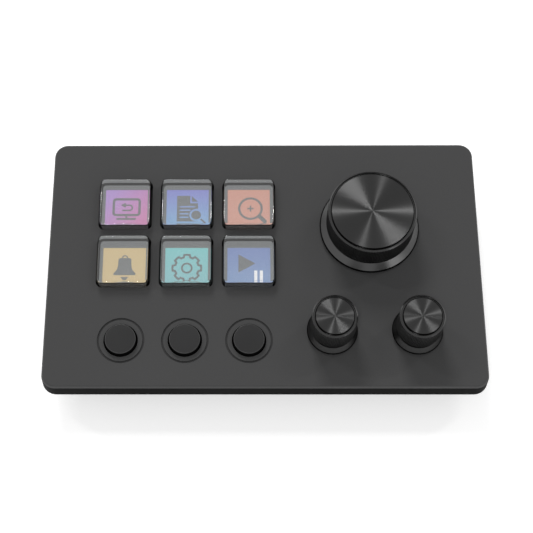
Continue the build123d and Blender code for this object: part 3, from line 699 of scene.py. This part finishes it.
def bell_icon():
    """A bell with its loop and clapper."""
    middle_x = 0.15
    side = [(2.0, 1.6), (2.05, 0.6), (2.3, -0.5), (2.8, -1.2), (3.35, -1.8)]
    right = arc(1.3, 2.5, 0.7, 90, 0, 5) + side + arc(3.05, -2.1, 0.35, 40, -90, 5)
    body = [mirrored(right, middle_x)]
    loop = stroke(arc(middle_x, 3.25, 0.72, 0, 180), 0.4)
    clapper = [mirrored([(1.2, -3.05), (0.7, -3.75), (0.35, -4.1)], middle_x)]
    return [(1, "grey", [body, loop, clapper])]


def gear_icon():
    """A gear with a round hub."""
    x, y = 0.1, -0.13
    rim = ring(cog(x, y, 8, 4.4, 3.65), 0.66)
    hub = ring(circle(x, y, 1.5), 0.58)
    return [(1, "grey", [rim, hub])]


def play_icon():
    """A play triangle with two pause bars."""
    play = [[(-3.2, -1.6), (2.0, 1.4), (-3.2, 4.4)]]
    pause = [[rounded(x, -2.6, 0.95, 3.3, 0.12)] for x in (2.1, 3.8)]
    return [(1, "grey", [play]), (1, "white", pause)]


# Each key's picture: its subject, its icon, the colours it fades between and the way it fades.
PICTURES = {
    1: ("monitor", monitor_icon, (180, 156, 204), (200, 144, 178), (1, -0.8)),
    2: ("document", document_icon, (148, 150, 203), (146, 180, 208), (0, -1)),
    3: ("magnifier", magnifier_icon, (205, 162, 150), (205, 162, 150), (0, -1)),
    4: ("bell", bell_icon, (205, 187, 151), (205, 187, 151), (0, -1)),
    5: ("gear", gear_icon, (146, 200, 200), (150, 190, 195), (0, -1)),
    6: ("play", play_icon, (139, 152, 190), (145, 165, 195), (0, -1)),
}
CAP_VEIL = 0.1  # what a cap's own reflections add to the light from below
CAP_PASS = 0.88  # share of that light that comes through


def shown(red, green, blue):
    """What the display emits to look like this sRGB colour, from 0 to 255, through a clear cap."""
    linear = (((c / 255 + 0.055) / 1.055) ** 2.4 for c in (red, green, blue))
    return tuple((c - CAP_VEIL) / CAP_PASS for c in linear)


def glow(name, first, second, centre, direction):
    """Lit display area that fades from the first colour to the second along a direction."""
    material, bsdf = shader(name, DISPLAY_BLACK, 0.3, Emission_Strength=1.0)
    turn = add(material, "ShaderNodeVectorMath")
    turn.operation = "DOT_PRODUCT"
    link(material, coordinates(material, centre), turn.inputs[0])
    turn.inputs[1].default_value = (*Vector(direction).normalized(), 0)
    along = spread(material, turn.outputs["Value"], 0, 1, -PICTURE / 2, PICTURE / 2)
    link(material, blend(material, along, first, second), bsdf.inputs["Emission Color"])
    return material


def make_pictures():
    """The six lit pictures with their icons, each under its key."""
    inks = {"grey": lit("icon_grey", GREY_GLOW), "white": lit("icon_white", grey(0.85))}
    tile = [rounded(0, 0, PICTURE / MM, PICTURE / MM, 0.1)]
    for number, (subject, icon, first, second, direction) in PICTURES.items():
        spot = middle(f"key_cap_{number}")
        y = spot.y + (REAR_ROW_SHIFT if number <= 3 else FRONT_ROW_SHIFT)
        paper = glow(f"glow_{subject}", shown(*first), shown(*second), (spot.x, y, 0), direction)
        inks["paper"] = paper
        slab([tile], f"picture_{subject}", spot.x, y, 0.5, paper)
        for layer, (level, ink, shapes) in enumerate(icon(), 1):
            slab(shapes, f"icon_{subject}_{layer}", spot.x, y, 0.5 + level, inks[ink])


make_pictures()

# ---------------------------------------------------------------- camera, light and stage

# The camera that took the photograph: its lens and its middle in pixels, its turns in degrees,
# and the point on the deck that it looks at from a distance.
FOCAL_PIXELS = 1246.07
FRAME_PIXELS = 533
CENTRE_X, CENTRE_Y = 231.8, 269.1
ELEVATION, YAW, ROLL = 67.631, 1.605, -1.539
TARGET = Vector((-9.781 * MM, -2.562 * MM, DECK))
DISTANCE = 377.989 * MM
SENSOR = 36


def make_camera():
    """The camera, placed as in the photograph."""
    data = bpy.data.cameras.new("camera")
    camera = bpy.data.objects.new("camera", data)
    bpy.context.scene.collection.objects.link(camera)
    bpy.context.scene.camera = camera
    tilt = Matrix.Rotation(math.radians(90 - ELEVATION), 4, "X")
    turn = Matrix.Rotation(math.radians(YAW), 4, "Z")
    roll = Matrix.Rotation(math.radians(ROLL), 4, "Z")
    back = Matrix.Translation((0, 0, DISTANCE))
    camera.matrix_world = Matrix.Translation(TARGET) @ turn @ tilt @ roll @ back
    data.sensor_width = SENSOR
    data.lens = SENSOR * FOCAL_PIXELS / FRAME_PIXELS
    data.shift_x = (FRAME_PIXELS / 2 - CENTRE_X) / FRAME_PIXELS
    data.shift_y = (CENTRE_Y - FRAME_PIXELS / 2) / FRAME_PIXELS
    data.clip_start = 0.01
    data.clip_end = 20


LAMP_DISTANCE = 2.3
STRIP = (0.06, 0.6)  # width and length of the lamps that draw the streaks on the dials
STRIP_POWER = 4.6
STRIP_ROLL = 28  # degrees about its axis, so that a streak runs straight to the disc's middle
WORLD_LIGHT = 0.4
FLOOR_LIFT = 0.4  # how much brighter the floor looks than the light alone would make it
FLOOR_REACH = 12.0


def softbox(name, azimuth, elevation, size, power, roll=0):
    """A rectangular lamp facing the deck from an azimuth (0 = +X, 90 = +Y) and elevation in degrees."""
    data = bpy.data.lights.new(name, "AREA")
    data.shape = "RECTANGLE"
    data.size, data.size_y = size
    data.energy = power
    lamp = bpy.data.objects.new(name, data)
    bpy.context.scene.collection.objects.link(lamp)
    turn, rise = math.radians(azimuth), math.radians(elevation)
    flat = math.cos(rise)
    away = Vector((math.cos(turn) * flat, math.sin(turn) * flat, math.sin(rise)))
    facing = away.to_track_quat("Z", "Y") @ Quaternion((0, 0, 1), math.radians(roll))
    place = Vector((0, 0, DECK)) + away * LAMP_DISTANCE
    lamp.matrix_world = Matrix.Translation(place) @ facing.to_matrix().to_4x4()
    lamp.visible_transmission = False


def where_seen(material, lift):
    """The lift for camera, mirrored and let-through rays, and 0 for the light itself."""
    path = add(material, "ShaderNodeLightPath")
    mirrored = either(material, path.outputs["Is Camera Ray"], path.outputs["Is Glossy Ray"])
    seen = either(material, mirrored, path.outputs["Is Transmission Ray"])
    return calculate(material, "MULTIPLY", seen, lift)


def make_world():
    """An even white surround that fills the shadows."""
    world = bpy.data.worlds.new("studio")
    bpy.context.scene.world = world
    world.use_nodes = True
    sky = world.node_tree.nodes["Background"]
    sky.inputs["Color"].default_value = (1, 1, 1, 1)
    sky.inputs["Strength"].default_value = WORLD_LIGHT


def make_floor():
    """A white floor that looks brighter than the light alone would make it and keeps the shadow."""
    mesh = bpy.data.meshes.new("floor")
    corners = ((-1, -1), (1, -1), (1, 1), (-1, 1))
    mesh.from_pydata([(x * FLOOR_REACH, y * FLOOR_REACH, 0) for x, y in corners], [], [(0, 1, 2, 3)])
    floor = bpy.data.objects.new("floor", mesh)
    bpy.context.scene.collection.objects.link(floor)
    paint, bsdf = shader(
        "floor_paint", grey(0.97), 0.9, Specular_IOR_Level=0.1, Emission_Color=(1, 1, 1, 1)
    )
    link(paint, where_seen(paint, FLOOR_LIFT), bsdf.inputs["Emission Strength"])
    mesh.materials.append(paint)


make_camera()
softbox("rear", azimuth=103, elevation=36, size=(0.68, 0.8), power=23.0)
softbox("overhead_front", azimuth=-112, elevation=68, size=(0.2, 0.4), power=10.0)
softbox("rear_left", azimuth=143, elevation=45, size=STRIP, power=STRIP_POWER, roll=STRIP_ROLL)
softbox("side_right", azimuth=37, elevation=45, size=STRIP, power=STRIP_POWER, roll=-STRIP_ROLL)
softbox("front_right", azimuth=-40, elevation=25, size=(1.1, 0.6), power=2.4)
make_world()
make_floor()
bpy.context.scene.view_settings.view_transform = "Standard"
